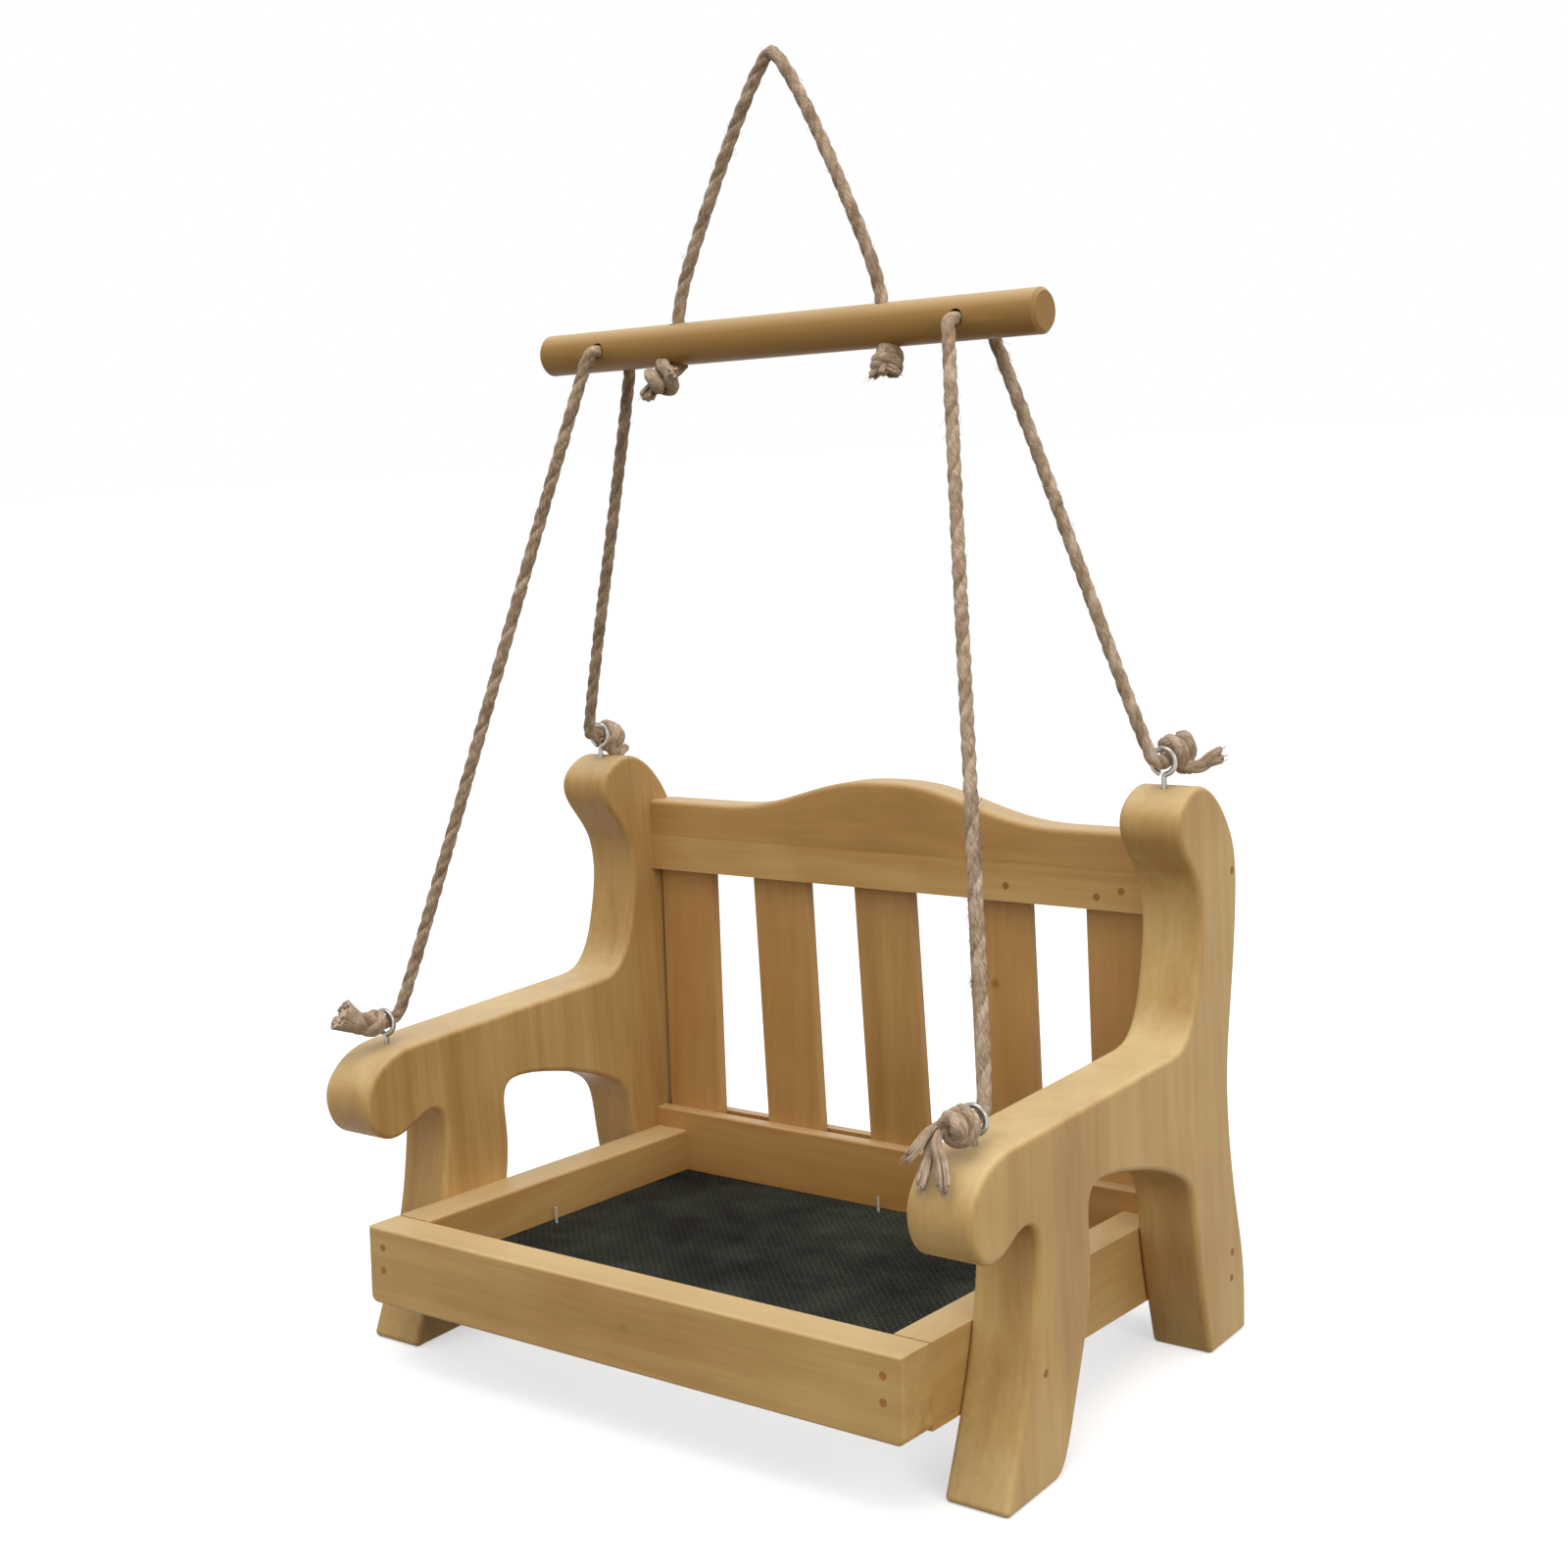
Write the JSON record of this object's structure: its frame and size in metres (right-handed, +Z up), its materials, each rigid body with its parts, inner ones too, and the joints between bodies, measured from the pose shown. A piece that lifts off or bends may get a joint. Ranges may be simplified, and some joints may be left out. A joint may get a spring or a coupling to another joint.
{
  "type": "hanging bird feeder",
  "caption": "Small wooden garden bench with a mesh tray seat, hung as a bird feeder from a wooden bar by jute ropes.",
  "frame": {"origin": "middle of the ground footprint, at the level of the four feet", "axes": "+Z up, the seat faces -Y, +X along the tray boards towards the viewer's right"},
  "size_m": [0.252, 0.1629, 0.3954],
  "materials": {
    "pine": "clear varnish, satin",
    "mesh": "coated woven mesh",
    "bright_steel": "zinc plated",
    "dark_steel": "dulled heads",
    "jute": "twisted natural fibre"
  },
  "bodies": {
    "root": {"left_side_panel": "pine", "right_side_panel": "pine", "tray_front_board": "pine", "tray_left_rail": "pine", "tray_right_rail": "pine", "seat_back_rail": "pine", "crest_rail": "pine", "back_slat_1": "pine", "back_slat_2": "pine", "back_slat_3": "pine", "back_slat_4": "pine", "back_slat_5": "pine", "hanger_dowel": "pine", "mesh_floor": "mesh", "screw_eye_front_left": "bright_steel", "screw_eye_front_right": "bright_steel", "screw_eye_rear_left": "bright_steel", "screw_eye_rear_right": "bright_steel", "mesh_staples": "bright_steel", "tray_brads": "dark_steel", "side_panel_brads": "dark_steel", "crest_brads": "dark_steel", "left_sling_rope": "jute", "right_sling_rope": "jute", "top_hanger_rope": "jute", "knot_front_left": "jute", "knot_front_right": "jute", "knot_rear_left": "jute", "knot_rear_right": "jute", "knot_hanger_left": "jute", "knot_hanger_right": "jute"}
  },
  "joints": []
}
